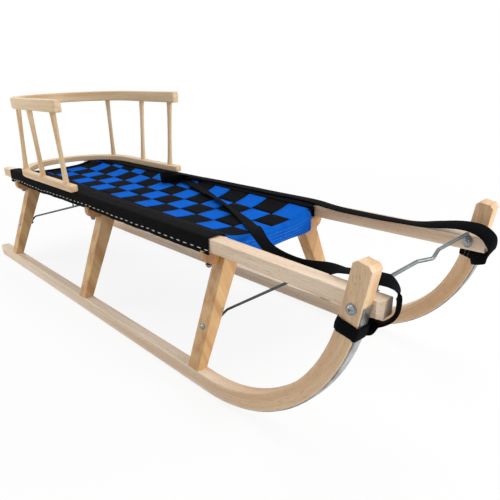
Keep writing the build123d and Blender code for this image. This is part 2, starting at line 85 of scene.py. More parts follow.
# %% Shared sizes in metres
RAIL_BOTTOM = 212.0 * MM
RAIL_WIDTH = 23.5 * MM
BEND_X = 326.5 * MM
SEAT_FRONT = 297.5 * MM
SEAT_REAR = -531.0 * MM
WEB_LOW = 216.5 * MM
WEB_SAG = 15.0 * MM
TRESTLES = {"rear": -489.0 * MM, "middle": -101.0 * MM, "front": 277.0 * MM}
BEAM_THICKNESS = 16.0 * MM
BEAM_BOTTOM = 189.0 * MM
TRACK_HALF = 178.5 * MM
RAIL_FLARE = 0.0395       # how fast the rails open, ahead of the bend
RAIL_TAPER = 0.009        # and behind it


def rail_outer(x):
    """Distance of a side rail's outer face from the middle."""
    slope = RAIL_FLARE if x > BEND_X else RAIL_TAPER
    return 134.5 * MM + slope * (x - BEND_X)


WEB_HALF = rail_outer(SEAT_FRONT) - RAIL_WIDTH - 2.4 * MM
WEB_POWER = 3.36


def web_height(y):
    """The webbing hangs flat in the middle and climbs to the rails at its sides."""
    return WEB_LOW + WEB_SAG * min(1.0, abs(y) / WEB_HALF) ** WEB_POWER


# %% [markdown]
# ## Helpers
# Colours are written as sRGB hex, as a colour picker shows them, and one function
# turns them linear. The others add shader or geometry nodes and fill their inputs.

# %% Colour and node helpers
def linear(hex_colour):
    """sRGB hex to the linear RGBA that the sockets hold."""
    channels = [int(hex_colour[i:i + 2], 16) / 255 for i in (1, 3, 5)]
    return [c / 12.92 if c <= 0.04045 else ((c + 0.055) / 1.055) ** 2.4 for c in channels] + [1.0]


def feed(tree, node, inputs):
    """Fills a node's inputs: a socket is linked, anything else is a value."""
    for key, value in inputs.items():
        if isinstance(value, bpy.types.NodeSocket):
            tree.links.new(value, node.inputs[key])
        else:
            node.inputs[key].default_value = value


def add_node(tree, kind, inputs=None, **settings):
    """Adds a node with its settings and inputs."""
    node = tree.nodes.new(kind)
    for name, value in settings.items():
        setattr(node, name, value)
    feed(tree, node, inputs or {})
    return node


def wire(tree, kind, inputs=None, **settings):
    """Adds a node and gives its first output."""
    return add_node(tree, kind, inputs, **settings).outputs[0]


def maths(tree, operation, *values):
    """One maths node, with a socket or a number for each value."""
    return wire(tree, "ShaderNodeMath", dict(enumerate(values)), operation=operation)


def ranged(tree, value, given, wanted):
    """Maps a value from one range onto another."""
    ends = dict(enumerate((*given, *wanted), start=1))
    return wire(tree, "ShaderNodeMapRange", {"Value": value, **ends})


def two_colours(tree, value, dark, light, start, end):
    """Blends two colours as a value goes from start to end."""
    ramp = add_node(tree, "ShaderNodeValToRGB", {"Fac": value})
    for stop, place, colour in zip(ramp.color_ramp.elements, (start, end), (dark, light)):
        stop.position = place
        stop.color = linear(colour)
    return ramp.outputs[0]


def mixed_colour(tree, share, under, over, blend="MIX"):
    """Lays one colour over another."""
    mix = add_node(tree, "ShaderNodeMix", {0: share, 6: under, 7: over}, data_type="RGBA", blend_type=blend)
    return mix.outputs[2]


def new_material(name):
    material = bpy.data.materials.new(name)
    material.use_nodes = True
    tree = material.node_tree
    tree.nodes.clear()
    shader = add_node(tree, "ShaderNodeBsdfPrincipled")
    output = add_node(tree, "ShaderNodeOutputMaterial")
    tree.links.new(shader.outputs["BSDF"], output.inputs["Surface"])
    return material, tree, shader


def dress(node, material):
    """Gives a CAD node its finish."""
    slots = cad_nodes[node].material_slots
    if not slots:
        cad_nodes[node].data.materials.append(material)
    for one in slots:
        one.link = "DATA"
        one.material = material


# %% [markdown]
# ## Beech
# Beech is a pale, even wood. What the eye reads is the faint light and dark bands of
# its growth, hair-fine pores along the grain, and short brown flecks where the cut
# crosses the rays. It is planed, and a thin satin varnish leaves a soft gloss. The
# grain has to run along each piece, and round the bend where a piece was steamed and
# bent, so one material is made for each direction, and a bend measures its grain as
# arc length and radius.

# %% Beech
def straight_grain(turn):
    """Grain along a straight piece: turn brings its length onto X."""
    def follow(tree, place):
        return wire(tree, "ShaderNodeMapping", {"Vector": place, "Rotation": turn}, vector_type="POINT")
    return follow


def bent_grain(centre, plane):
    """Grain that follows a bend about a centre in the XZ plane or the XY plane."""
    def follow(tree, place):
        parts = add_node(tree, "ShaderNodeSeparateXYZ", {"Vector": place}).outputs
        other, through = ("Z", "Y") if plane == "XZ" else ("Y", "Z")
        ahead = maths(tree, "SUBTRACT", parts["X"], centre[0])
        aside = maths(tree, "SUBTRACT", parts[other], centre[1])
        ends = ("MAXIMUM", "MINIMUM") if plane == "XZ" else ("MINIMUM", "MAXIMUM")
        bent, tail = [maths(tree, end, ahead, 0.0) for end in ends]
        squares = [maths(tree, "MULTIPLY", part, part) for part in (bent, aside)]
        radius = maths(tree, "SQRT", maths(tree, "ADD", *squares))
        angle = maths(tree, "ARCTAN2", bent, maths(tree, "ABSOLUTE", aside))
        along = maths(tree, "ADD", maths(tree, "MULTIPLY", angle, centre[2]), tail)
        joined = add_node(tree, "ShaderNodeCombineXYZ", {"X": along, "Y": radius, "Z": parts[through]})
        return joined.outputs["Vector"]
    return follow


def beech(name, follow, light="#E6CBA4", dark="#CDA678", fleck="#A97E52", shift=0.0, painted_shade_span=None):
    """Planed beech under satin varnish, with its grain along the first axis of follow.

    The last argument gives the stretch of X over which the colour turns darker and redder towards the front:
    painted shade on the bend and horn.
    """
    material, tree, shader = new_material(name)
    place = add_node(tree, "ShaderNodeTexCoord").outputs["Object"]
    grain = follow(tree, place)
    moved = wire(tree, "ShaderNodeVectorMath", {0: grain, 1: (shift, shift, shift)}, operation="ADD")

    def noise(scale, size, detail, rough=0.5):
        stretched = wire(tree, "ShaderNodeVectorMath", {0: moved, 1: scale}, operation="MULTIPLY")
        return wire(tree, "ShaderNodeTexNoise",
                    {"Vector": stretched, "Scale": size, "Detail": detail, "Roughness": rough})

    growth = noise((2.2, 60.0, 60.0), 1.0, 3.0)          # bands about 15 mm apart
    fibre = noise((14.0, 620.0, 620.0), 1.0, 2.0, 0.6)   # lines about 1.6 mm apart
    rays = noise((110.0, 900.0, 900.0), 1.0, 1.0)        # flecks 9 mm long and 1 mm wide
    bands = two_colours(tree, growth, dark, light, 0.36, 0.60)
    fine = ranged(tree, fibre, (0.30, 0.70), (0.80, 1.06))
    shaded = mixed_colour(tree, 0.55, bands, fine, "MULTIPLY")
    flecks = ranged(tree, rays, (0.62, 0.74), (0.0, 0.55))
    colour = mixed_colour(tree, flecks, shaded, linear(fleck))
    # painted shade: the colour is darkened and reddened over the given stretch of X, towards the front
    if painted_shade_span:
        ahead = add_node(tree, "ShaderNodeSeparateXYZ", {"Vector": place}).outputs["X"]
        painted_shade_share = wire(tree, "ShaderNodeMapRange", {"Value": ahead, 1: painted_shade_span[0], 2: painted_shade_span[1]})
        colour = mixed_colour(tree, painted_shade_share, colour, linear("#F2E2CC"), "MULTIPLY")
    gloss = ranged(tree, fibre, (0.3, 0.7), (0.50, 0.38))
    bump = wire(tree, "ShaderNodeBump", {"Height": fibre, "Strength": 0.10, "Distance": 0.0006})
    feed(tree, shader, {"Base Color": colour, "Roughness": gloss, "Normal": bump, "IOR": 1.5,
                        "Coat Weight": 0.12, "Coat Roughness": 0.35})
    return material


# turns that bring a piece's length onto X
LEG_LEAN = math.atan(0.36)
quarter = math.pi / 2
RUNNER_CENTRE = (BEND_X, 258.0 * MM, 0.243)
woods = {
    "rail": beech("beech_rail", straight_grain((0, 0, 0)), light="#F0DAC0", dark="#DCBA98"),
    # the runner's bend and horn get painted shade, darker and redder than the rest
    "runner": beech("beech_bent_runner", bent_grain(RUNNER_CENTRE, "XZ"), light="#F3DFC6", dark="#E2C4A2",
                    painted_shade_span=(0.30, 0.42)),
    "beam": beech("beech_crossbeam", straight_grain((0, 0, quarter)), light="#D3A36C", dark="#AF7A45"),
    "spindle": beech("beech_spindle", straight_grain((0, quarter, 0)), light="#E6CAA0", dark="#D2AE80"),
}
for side, lean in (("right", -LEG_LEAN), ("left", LEG_LEAN)):
    woods["leg_" + side] = beech("beech_leg_" + side, straight_grain((quarter + lean, 0, quarter)),
                                 light="#DDB47C", dark="#BF8D57")
for bow, centre, shift in (("lower", (-0.3785, 0.0, 0.133), 0.0), ("top", (-0.3415, 0.0, 0.141), 0.3)):
    woods["bow_" + bow] = beech(f"beech_{bow}_bow", bent_grain(centre, "XY"), light="#E8CDA6",
                                dark="#D3AF82", shift=shift)
for side in ("right", "left"):
    dress("rail_" + side, woods["rail"])
    dress("runner_" + side, woods["runner"])
    for where in TRESTLES:
        dress(f"leg_{where}_{side}", woods["leg_" + side])
        dress(f"backrest_spindle_{where}_{side}", woods["spindle"])
for where in TRESTLES:
    dress("crossbeam_" + where, woods["beam"])
dress("backrest_lower_rail", woods["bow_lower"])
dress("backrest_top_rail", woods["bow_top"])
print("beech finishes:", len(woods))

# %% [markdown]
# ## Steel
# The strips under the runners are rolled steel with a bright, lightly scuffed face.
# The tie rod and the bolts are zinc plated, which is a bluish grey with a soft shine,
# and the brace rods are darker, as blackened wire is.

# %% Steel
def steel(name, colour, roughness, worn, scratch=(40.0, 900.0, 900.0)):
    """Metal with fine drawn lines along X and patches where it has dulled."""
    material, tree, shader = new_material(name)
    place = add_node(tree, "ShaderNodeTexCoord").outputs["Object"]
    stretched = wire(tree, "ShaderNodeVectorMath", {0: place, 1: scratch}, operation="MULTIPLY")
    lines = wire(tree, "ShaderNodeTexNoise", {"Vector": stretched, "Scale": 1.0, "Detail": 2.0})
    dulled = wire(tree, "ShaderNodeTexNoise", {"Vector": place, "Scale": 45.0, "Detail": 4.0})
    ramp = two_colours(tree, dulled, worn, colour, 0.35, 0.65)
    rough = ranged(tree, lines, (0.3, 0.7), (roughness - 0.06, roughness + 0.10))
    bump = wire(tree, "ShaderNodeBump", {"Height": lines, "Strength": 0.08, "Distance": 0.0003})
    feed(tree, shader, {"Base Color": ramp, "Roughness": rough, "Normal": bump, "Metallic": 1.0})
    return material


strip_steel = steel("rolled_strip_steel", "#B2B5B6", 0.30, "#7E8284")
zinc_steel = steel("zinc_plated_steel", "#787E7F", 0.36, "#5F6566", (300.0, 300.0, 300.0))
dark_steel = steel("blackened_wire", "#5F6867", 0.45, "#474F4E", (300.0, 300.0, 300.0))
BRACES = {"rear": ("right", "left"), "front": ("right",)}   # this sled has lost its left front brace
for side in ("right", "left"):
    dress("runner_strip_" + side, strip_steel)
for where, sides in BRACES.items():
    for side in sides:
        dress(f"brace_{where}_{side}", dark_steel)
dress("front_tie_rod", zinc_steel)

# %% [markdown]
# ## Woven fabrics
# The sleeves are a dense black polyester cloth, and the straps are webbing: thick
# ribs across the strap, made by a heavy weft. Both are matt and take almost no shine.
# The real threads are finer than a picture can show, so the ribs are drawn a little
# coarser than life.

# %% Cloth and webbing
def woven(name, light, dark, rib, across=0.0, shine=0.06):
    """Woven cloth on its own UV map in metres: rib is the spacing of its threads."""
    material, tree, shader = new_material(name)
    uv = add_node(tree, "ShaderNodeUVMap", uv_map="lay").outputs["UV"]
    parts = add_node(tree, "ShaderNodeSeparateXYZ", {"Vector": uv}).outputs

    def thread(value, spacing):
        return maths(tree, "SINE", maths(tree, "MULTIPLY", value, 2 * math.pi / spacing))

    warp = thread(parts["X"], rib)
    weft = thread(parts["Y"], across or rib)
    weave = maths(tree, "MULTIPLY", warp, weft)
    height = maths(tree, "ADD", warp, weave)
    patches = wire(tree, "ShaderNodeTexNoise",
                   {"Vector": uv, "Scale": 60.0, "Detail": 4.0, "Roughness": 0.6})
    # painted shade between the threads: the low parts of the weave are coloured darker, and the noise
    # patches also vary the tone at random
    mixed = ranged(tree, height, (-1.6, 1.6), (0.25, 0.75))
    painted_thread_shade_and_tone = maths(tree, "MULTIPLY", mixed, patches)
    ramp = two_colours(tree, painted_thread_shade_and_tone, dark, light, 0.12, 0.42)
    bump = wire(tree, "ShaderNodeBump", {"Height": height, "Strength": 0.35, "Distance": 0.0004})
    feed(tree, shader, {"Base Color": ramp, "Normal": bump, "Roughness": 0.92, "Specular IOR Level": shine})
    return material


black_cloth = woven("black_polyester_cloth", "#111214", "#08080A", 0.0022)
black_webbing = woven("black_webbing", "#0E0F13", "#060709", 0.0026, across=0.0034)
blue_webbing = woven("blue_webbing", "#0672E2", "#0453BE", 0.0026, across=0.0034, shine=0.08)
blue_roll = woven("blue_sewn_roll", "#0669D2", "#034CAC", 0.0030, across=0.0040, shine=0.08)
pull_webbing = woven("black_pull_webbing", "#0F1013", "#060708", 0.0020, across=0.0040)


# %% [markdown]
# ## Building meshes
# Most soft pieces are lofts: a row of cross-sections, each a list of points. The
# loft's UV map is in metres, so that the weave keeps its real size on every piece.

# %% Loft helper
def link(name, mesh, *materials):
    piece = bpy.data.objects.new(name, mesh)
    bpy.context.collection.objects.link(piece)
    for material in materials:
        mesh.materials.append(material)
    return piece


def loft(name, sections, material, closed=False, capped=False):
    """Skins a row of cross-sections with quads, and lays a UV map in metres on them."""
    mesh = bpy.data.meshes.new(name)
    build = bmesh.new()
    rows = [[build.verts.new(p) for p in section] for section in sections]
    uv = build.loops.layers.uv.new("lay")
    count = len(rows[0])
    spans = count if closed else count - 1
    run = [0.0]
    for a, b in zip(sections, sections[1:]):
        run.append(run[-1] + (Vector(b[count // 2]) - Vector(a[count // 2])).length)
    for i in range(len(rows) - 1):
        width = [0.0]
        for j in range(spans):
            width.append(width[-1] + (Vector(sections[i][(j + 1) % count]) - Vector(sections[i][j])).length)
        for j in range(spans):
            k = (j + 1) % count
            face = build.faces.new((rows[i][j], rows[i + 1][j], rows[i + 1][k], rows[i][k]))
            face.smooth = True
            here, ahead, low, high = run[i], run[i + 1], width[j], width[j + 1]
            spots = ((here, low), (ahead, low), (ahead, high), (here, high))
            for corner, spot in zip(face.loops, spots):
                corner[uv].uv = spot
    if closed and capped:
        build.faces.new(rows[0])
        build.faces.new(list(reversed(rows[-1])))
    bmesh.ops.recalc_face_normals(build, faces=build.faces)
    build.to_mesh(mesh)
    build.free()
    return link(name, mesh, material)


def settle(piece):
    """Applies what a piece's modifiers and nodes make, as one plain mesh."""
    bpy.context.view_layer.update()
    seen = piece.evaluated_get(bpy.context.evaluated_depsgraph_get())
    mesh = bpy.data.meshes.new_from_object(seen)
    mesh.name = piece.name
    piece.modifiers.clear()
    if piece.type != "MESH":
        name = piece.name
        bpy.data.objects.remove(piece)
        return link(name, mesh)
    piece.data = mesh
    return piece


# %% [markdown]
# ## Pull strap
# One length of flat webbing, 20 mm wide, is sewn to a band round each horn. It loops
# in front of the rail's end, stands on edge inside the rail, crosses the seat, makes a
# small loop and comes back along the other rail. The route below is the middle of the
# strap. Each point may say which way the strap's width lies there: flat where nothing
# is said, and turned where the strap twists.

# %% Route of the pull strap
STRAP_WIDTH = 20.0 * MM
STRAP_THICKNESS = 1.6 * MM
ON_RAIL = 234.4
ON_SLEEVE = 237.2
ON_WEB = 3.0


def on_web(x, y, above=0.0):
    return (x, y, web_height(y * MM) / MM + ON_WEB + above)


near_loop = [
    ((567.5, -139.6, 193.5), (-0.30, 0.00, 0.95)),
    ((579.0, -134.0, 197.0), (-0.20, 0.96, -0.10)),
    ((592.5, -130.0, 204.5), (-0.31, 0.95, 0.00)),
    ((600.5, -127.0, 214.5), (-0.60, 0.79, 0.00)),
    ((601.0, -123.0, 229.0), (-0.68, 0.64, -0.35)),
    ((595.5, -118.5, 239.5), (0.00, 0.95, -0.20)),
    ((583.0, -115.5, 245.0), (0.45, 0.80, 0.35)),
    ((567.0, -113.5, 246.5), (0.20, 0.95, 0.10)),
    ((548.0, -111.5, 244.5), None),
    ((526.0, -110.8, 240.5), None),
    ((500.0, -111.5, 235.5), (0.00, 0.60, 0.80)),
    ((466.0, -110.5, 226.5), (0.00, 0.10, 1.00)),
    ((430.0, -108.5, 226.0), (0.00, 0.10, 1.00)),
    ((392.0, -98.0, 226.0), (0.05, 0.15, 0.98)),
    ((363.0, -84.0, 228.0), (0.10, 0.40, 0.90)),
    ((336.0, -67.0, 229.0), (0.20, 0.60, 0.75)),
]
across_seat = [
    (on_web(307, -47, 7.0), (0.30, 0.75, 0.40)),
    (on_web(278, -28, 2.5), None),
    (on_web(253, -13, 0.6), None),
    (on_web(222, 2, 1.0), (0.30, 0.90, -0.20)),
    (on_web(180, 19, 3.0), (0.20, 0.85, -0.42)),
    (on_web(126, 40, 3.5), (0.20, 0.85, -0.45)),
    (on_web(70, 60, 2.5), (0.30, 0.90, -0.30)),
    (on_web(18, 76, 1.5), None),
    (on_web(-36, 91, 1.0), None),
    (on_web(-88, 98, 2.0), (0.10, 0.85, 0.45)),
    (on_web(-122, 93, 7.0), (0.00, 0.30, 0.92)),
    (on_web(-136, 78, 8.5), (0.10, -0.15, 0.98)),
    (on_web(-122, 66, 9.0), (0.00, -0.20, 0.98)),
    (on_web(-98, 68, 10.0), (0.00, -0.25, 0.97)),
    (on_web(-82, 80, 10.0), (0.15, -0.45, 0.88)),
]
far_run = [
    ((-72.0, 94.0, ON_SLEEVE + 3.0), (0.40, -0.75, 0.55)),
    ((-52.0, 107.0, ON_SLEEVE + 3.0), (0.45, -0.85, 0.20)),
    ((-18.0, 115.0, ON_SLEEVE), None),
    ((28.0, 117.5, ON_SLEEVE), None),
    ((78.0, 117.0, ON_SLEEVE), None),
    ((130.0, 118.5, ON_SLEEVE), None),
    ((182.0, 118.0, ON_SLEEVE), None),
    ((236.0, 120.0, ON_SLEEVE), None),
    ((290.0, 120.5, ON_SLEEVE + 0.3), None),
    ((340.0, 111.5, ON_RAIL + 0.5), (0.00, -0.990, -0.10)),
    ((392.0, 112.5, ON_RAIL + 0.3), (0.00, -0.990, -0.10)),
    ((444.0, 114.5, ON_RAIL + 0.3), (0.00, -0.990, -0.08)),
    ((492.0, 118.0, ON_RAIL + 1.0), (-0.03, -0.99, -0.02)),
    ((526.0, 123.0, 241.0), (-0.10, -0.90, -0.30)),
    ((550.0, 120.0, 246.5), (-0.20, -0.85, -0.42)),
    ((569.0, 117.5, 248.5), (-0.35, -0.80, -0.45)),
    ((585.0, 117.0, 246.5), (-0.46, -0.75, -0.47)),
    ((596.0, 118.5, 239.5), (-0.50, -0.75, -0.42)),
    ((601.0, 123.0, 229.0), (-0.53, -0.77, -0.36)),
    ((600.5, 127.0, 214.5), (-0.20, -0.95, -0.10)),
    ((592.5, 130.5, 204.5), (0.00, -0.90, -0.40)),
    ((579.0, 134.0, 197.0), (0.35, -0.05, -0.93)),
    ((567.5, 139.6, 193.5), (0.30, 0.00, -0.95)),
]
strap_route = near_loop + across_seat + far_run


def route_curve(name, points):
    curve = bpy.data.curves.new(name, "CURVE")
    curve.dimensions = "3D"
    spline = curve.splines.new("NURBS")
    spline.points.add(len(points) - 1)
    for slot_point, place in zip(spline.points, points):
        slot_point.co = (*(Vector(place) * MM), 1.0)
    spline.order_u = 3
    spline.use_endpoint_u = True
    spline.resolution_u = 8
    piece = bpy.data.objects.new(name, curve)
    bpy.context.collection.objects.link(piece)
    return piece


route = route_curve("pull_strap_route", [place for place, lie in strap_route])
bpy.context.view_layer.update()
route_mesh = bpy.data.meshes.new_from_object(route)
strap_path = [vertex.co.copy() for vertex in route_mesh.vertices]
bpy.data.objects.remove(route)

# %% [markdown]
# ## Ribbon of the pull strap
# The ribbon is lofted along the route. Its cross-section turns evenly from the way the
# width lies at one point to the way it lies at the next.

# %% Ribbon along the route
def ribbon_section(centre, across, face, width, thickness):
    """A flat strap's cross-section, with its two edges rounded."""
    half, thin = width / 2, thickness / 2
    outline = ((-half, 0), (-half + thin, thin), (0, thin), (half - thin, thin),
               (half, 0), (half - thin, -thin), (0, -thin), (-half + thin, -thin))
    return [centre + across * a + face * b for a, b in outline]


def strap_sections(path, lies, width, thickness):
    sections = []
    last = len(path) - 1
    for i, centre in enumerate(path):
        tangent = (path[min(i + 1, last)] - path[max(i - 1, 0)]).normalized()
        spot = i / last * (len(lies) - 1)
        low = min(int(spot), len(lies) - 2)
        flat = tangent.cross(Vector((0, 0, 1))).normalized()
        ends = [Vector(lies[k]).normalized() if lies[k] else flat for k in (low, low + 1)]
        across = ends[0].lerp(ends[1], spot - low)
        across = (across - tangent * across.dot(tangent)).normalized()
        sections.append(ribbon_section(centre, across, across.cross(tangent), width, thickness))
    return sections


sections = strap_sections(strap_path, [lie for place, lie in strap_route], STRAP_WIDTH, STRAP_THICKNESS)
pull_strap = loft("pull_strap_ribbon", sections, pull_webbing, closed=True, capped=True)
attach(pull_strap, "root")
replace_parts(pull_strap, "pull_strap")

# %% [markdown]
# ## Woven seat
# The seat is a plain weave of two sets of straps: black ones along the sled and blue
# ones across it, each going over one and under the next. That is a rule, so Geometry
# Nodes make it. A strip of quads is repeated once for each strap, then every point is
# lifted or lowered by the rule, and set on the hanging shape of the seat.

# %% Woven seat
ACROSS_PITCH = 53.5 * MM      # from one blue strap to the next
ALONG_PITCH = 46.6 * MM       # from one black strap to the next
ACROSS_FIRST = 268.3 * MM     # middle of the blue strap at the front
ALONG_FIRST = -155.8 * MM     # middle of the first black strap, which drifts out from the near sleeve
WEAVE_SKEW = 0.060            # the black straps drift sideways towards the rear
ALONG_WIDTH = 46.0 * MM
ACROSS_WIDTH = 49.0 * MM
ALONG_COUNT = 7
ACROSS_COUNT = 15
WEAVE_RISE = 0.9 * MM
WEB_THICKNESS = 1.2 * MM


def geometry_tree(name, numbers=(), counts=(), materials=(), on_mesh=True):
    """An empty Geometry Nodes tree with named inputs, which may work on the piece's own mesh."""
    tree = bpy.data.node_groups.new(name, "GeometryNodeTree")
    for way in ("INPUT", "OUTPUT") if on_mesh else ("OUTPUT",):
        tree.interface.new_socket(name="Geometry", in_out=way, socket_type="NodeSocketGeometry")
    sockets = {}
    for kind, names in (("Float", numbers), ("Int", counts), ("Material", materials)):
        for key in names:
            socket = tree.interface.new_socket(name=key, in_out="INPUT", socket_type="NodeSocket" + kind)
            sockets[key] = socket.identifier
    return tree, sockets, add_node(tree, "NodeGroupInput").outputs


def hand_on(tree, geometry, material=None):
    """Ends a tree: its mesh may be shaded smooth and given a material first."""
    if material:
        smooth = wire(tree, "GeometryNodeSetShadeSmooth", {"Geometry": geometry})
        geometry = wire(tree, "GeometryNodeSetMaterial", {"Geometry": smooth, "Material": material})
    output = add_node(tree, "NodeGroupOutput")
    tree.links.new(geometry, output.inputs[0])


def run_nodes(piece, tree, sockets, values):
    """Puts a node tree on a piece, with a value for each input."""
    nodes = piece.modifiers.new("nodes", "NODES")
    nodes.node_group = tree
    for key, value in values.items():
        nodes[sockets[key]] = value
    return piece


def weave_tree(along):
    """Straps of one direction, lifted over and under, on the hanging seat."""
    tree, sockets, given = geometry_tree(
        "straps_along" if along else "straps_across",
        numbers=("Strap width", "Strap length", "Pitch", "Other pitch", "First", "Other first",
                 "Middle", "Rise", "Skew"),
        counts=("Count", "Steps"), materials=("Fabric",), on_mesh=False)

    def calc(operation, *values):
        return maths(tree, operation, *values)

    strip = add_node(tree, "GeometryNodeMeshGrid", {
        "Size X": given["Strap length"] if along else given["Strap width"],
        "Size Y": given["Strap width"] if along else given["Strap length"],
        "Vertices X": given["Steps"] if along else 5,
        "Vertices Y": 5 if along else given["Steps"],
    })
    uv_kept = wire(tree, "GeometryNodeStoreNamedAttribute",
                   {"Geometry": strip.outputs["Mesh"], "Name": "lay", "Value": strip.outputs["UV Map"]},
                   data_type="FLOAT2", domain="CORNER")
    offset = wire(tree, "ShaderNodeCombineXYZ", {"Y" if along else "X": given["Pitch"]})
    start = wire(tree, "ShaderNodeCombineXYZ", {
        "X": given["Middle"] if along else given["First"],
        "Y": given["First"] if along else given["Middle"]})
    row = wire(tree, "GeometryNodeMeshLine",
               {"Count": given["Count"], "Offset": offset, "Start Location": start}, mode="OFFSET")
    placed = wire(tree, "GeometryNodeInstanceOnPoints", {"Points": row, "Instance": uv_kept})
    whole = wire(tree, "GeometryNodeRealizeInstances", {"Geometry": placed})
    spot = wire(tree, "GeometryNodeInputPosition")
    parts = add_node(tree, "ShaderNodeSeparateXYZ", {"Vector": spot}).outputs
    counted = "Y" if along else "X"
    drift = calc("MULTIPLY", calc("SUBTRACT", ACROSS_FIRST, parts["X"]), given["Skew"])
    running = parts["X"] if along else calc("SUBTRACT", parts["Y"], drift)
    crossing = calc("DIVIDE", calc("SUBTRACT", running, given["Other first"]), given["Other pitch"])
    wave = calc("COSINE", calc("MULTIPLY", crossing, math.pi))
    clipped = wire(tree, "ShaderNodeClamp", {"Value": calc("MULTIPLY", wave, 1.9), "Min": -1.0, "Max": 1.0})
    number = calc("ROUND", calc("DIVIDE", calc("SUBTRACT", parts[counted], given["First"]), given["Pitch"]))
    parity = calc("COSINE", calc("MULTIPLY", number, math.pi))
    sign = 1.0 if along else -1.0
    lift = calc("MULTIPLY", calc("MULTIPLY", calc("MULTIPLY", clipped, parity), given["Rise"]), sign)
    # what drifts past the sleeves is pulled back to the edge, and the empty faces are removed
    drifted = calc("ADD", parts["Y"], drift) if along else parts["Y"]
    limits = {"Min": 1.0 * MM - WEB_HALF, "Max": WEB_HALF - 1.0 * MM}
    side = wire(tree, "ShaderNodeClamp", {"Value": drifted, **limits})
    share = calc("MINIMUM", calc("DIVIDE", calc("ABSOLUTE", side), WEB_HALF), 1.0)
    hang = calc("MULTIPLY_ADD", calc("POWER", share, WEB_POWER), WEB_SAG, WEB_LOW)
    height = calc("ADD", hang, lift)
    final = wire(tree, "ShaderNodeCombineXYZ", {"X": parts["X"], "Y": side, "Z": height})
    shaped = wire(tree, "GeometryNodeSetPosition", {"Geometry": whole, "Position": final})
    empty = calc("LESS_THAN", wire(tree, "GeometryNodeInputMeshFaceArea"), MM * MM)
    kept = wire(tree, "GeometryNodeDeleteGeometry", {"Geometry": shaped, "Selection": empty}, domain="FACE")
    hand_on(tree, kept, given["Fabric"])
    return tree, sockets


def grow(name, tree, sockets, values):
    """Runs a node tree on an empty mesh."""
    return run_nodes(link(name, bpy.data.meshes.new(name)), tree, sockets, values)


def thicken(piece, thickness, offset=0.0):
    solid = piece.modifiers.new("thickness", "SOLIDIFY")
    solid.thickness = thickness
    solid.offset = offset
    return piece


along_tree, along_sockets = weave_tree(True)
along_straps = grow("seat_straps_along", along_tree, along_sockets, {
    "Strap width": ALONG_WIDTH, "Strap length": SEAT_FRONT - SEAT_REAR + 3 * MM, "Pitch": ALONG_PITCH,
    "Other pitch": ACROSS_PITCH, "First": ALONG_FIRST, "Other first": ACROSS_FIRST,
    "Middle": (SEAT_FRONT + SEAT_REAR) / 2 + 1.5 * MM, "Rise": WEAVE_RISE, "Skew": WEAVE_SKEW,
    "Count": ALONG_COUNT, "Steps": 160, "Fabric": black_webbing,
})
across_tree, across_sockets = weave_tree(False)
across_straps = grow("seat_straps_across", across_tree, across_sockets, {
    "Strap width": ACROSS_WIDTH, "Strap length": 2 * WEB_HALF - 2 * MM, "Pitch": -ACROSS_PITCH,
    "Other pitch": ALONG_PITCH, "First": ACROSS_FIRST, "Other first": ALONG_FIRST,
    "Middle": 0.0, "Rise": WEAVE_RISE, "Skew": WEAVE_SKEW,
    "Count": ACROSS_COUNT, "Steps": 60, "Fabric": blue_webbing,
})
for straps in (along_straps, across_straps):
    settle(thicken(straps, WEB_THICKNESS))
    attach(straps, "root")
    print(straps.name, len(straps.data.polygons), "faces")
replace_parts(across_straps, "seat_webbing")

# %% [markdown]
# ## Front and rear edges of the seat
# At the front the last blue strap is folded down over the trestle and sewn in rows,
# which makes a rounded roll with fine creases. At the rear a black tape binds the edge.
# Both are lofts of one profile along the width of the seat.

# %% Front roll and rear binding
WRAP_NEAR = 104.0 * MM        # the roll reaches the near sleeve, and stops short of the far one
WRAP_FAR = 90.0 * MM
WRAP_LOW = 190.5 * MM


def front_profile(y):
    high = web_height(y) / MM
    end = WRAP_NEAR if y < 0 else WRAP_FAR
    low = (WRAP_LOW + 1.2 * MM * math.sin(y / (23 * MM)) + 3.5 * MM * (abs(y) / end) ** 8) / MM
    points = [(290.0, high + 0.2), (295.0, high + 2.0), (299.5, high + 2.7), (303.0, high + 1.7),
              (304.9, high - 0.8)]
    rows = 13
    for k in range(1, rows):
        share = k / rows
        points.append((305.3 + (0.55 if k % 3 else -0.35), (high - 0.8) * (1 - share) + low * share))
    points += [(304.6, low - 0.3), (303.4, low), (302.9, low + 6), (302.7, high - 7)]
    return [(x * MM, y, z * MM) for x, z in points]


def rear_profile(y):
    top = web_height(y)
    points = [(-516.0, 2.2), (-524.0, 2.4), (-529.5, 2.2), (-531.4, 0.6), (-530.6, -2.2), (-526.0, -2.6),
              (-516.0, -2.4)]
    return [(x * MM, y, top + z * MM) for x, z in points]


def spread(low, high, count):
    return [low + (high - low) * k / (count - 1) for k in range(count)]


roll_profiles = [front_profile(y) for y in spread(-WRAP_NEAR, WRAP_FAR, 48)]
front_roll = loft("seat_front_roll", roll_profiles, blue_roll)
binding_profiles = [rear_profile(y) for y in spread(-WEB_HALF + 3 * MM, WEB_HALF - 3 * MM, 40)]
rear_binding = loft("seat_rear_binding", binding_profiles, black_webbing)
for edge, size in ((front_roll, (0.062, 0.194)), (rear_binding, (0.034, 0.21))):
    settle(thicken(edge, WEB_THICKNESS))
    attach(edge, "root")

# %% [markdown]
# ## Sleeves
# Each side rail is pushed into a sleeve of black cloth. The cloth lies over the edge
# of the webbing, goes across the rail, down its outer face and round below it. A hem
# hangs 3 to 8 mm below the wood on the outer side, a little wavy, slightly higher at
# the cross-beams and deepest towards the rear. Under the rail the cloth is cut away
# where a cross-beam meets the wood.

# %% Sleeves
BEAM_MIDDLES = [rear + BEAM_THICKNESS / 2 for rear in TRESTLES.values()]


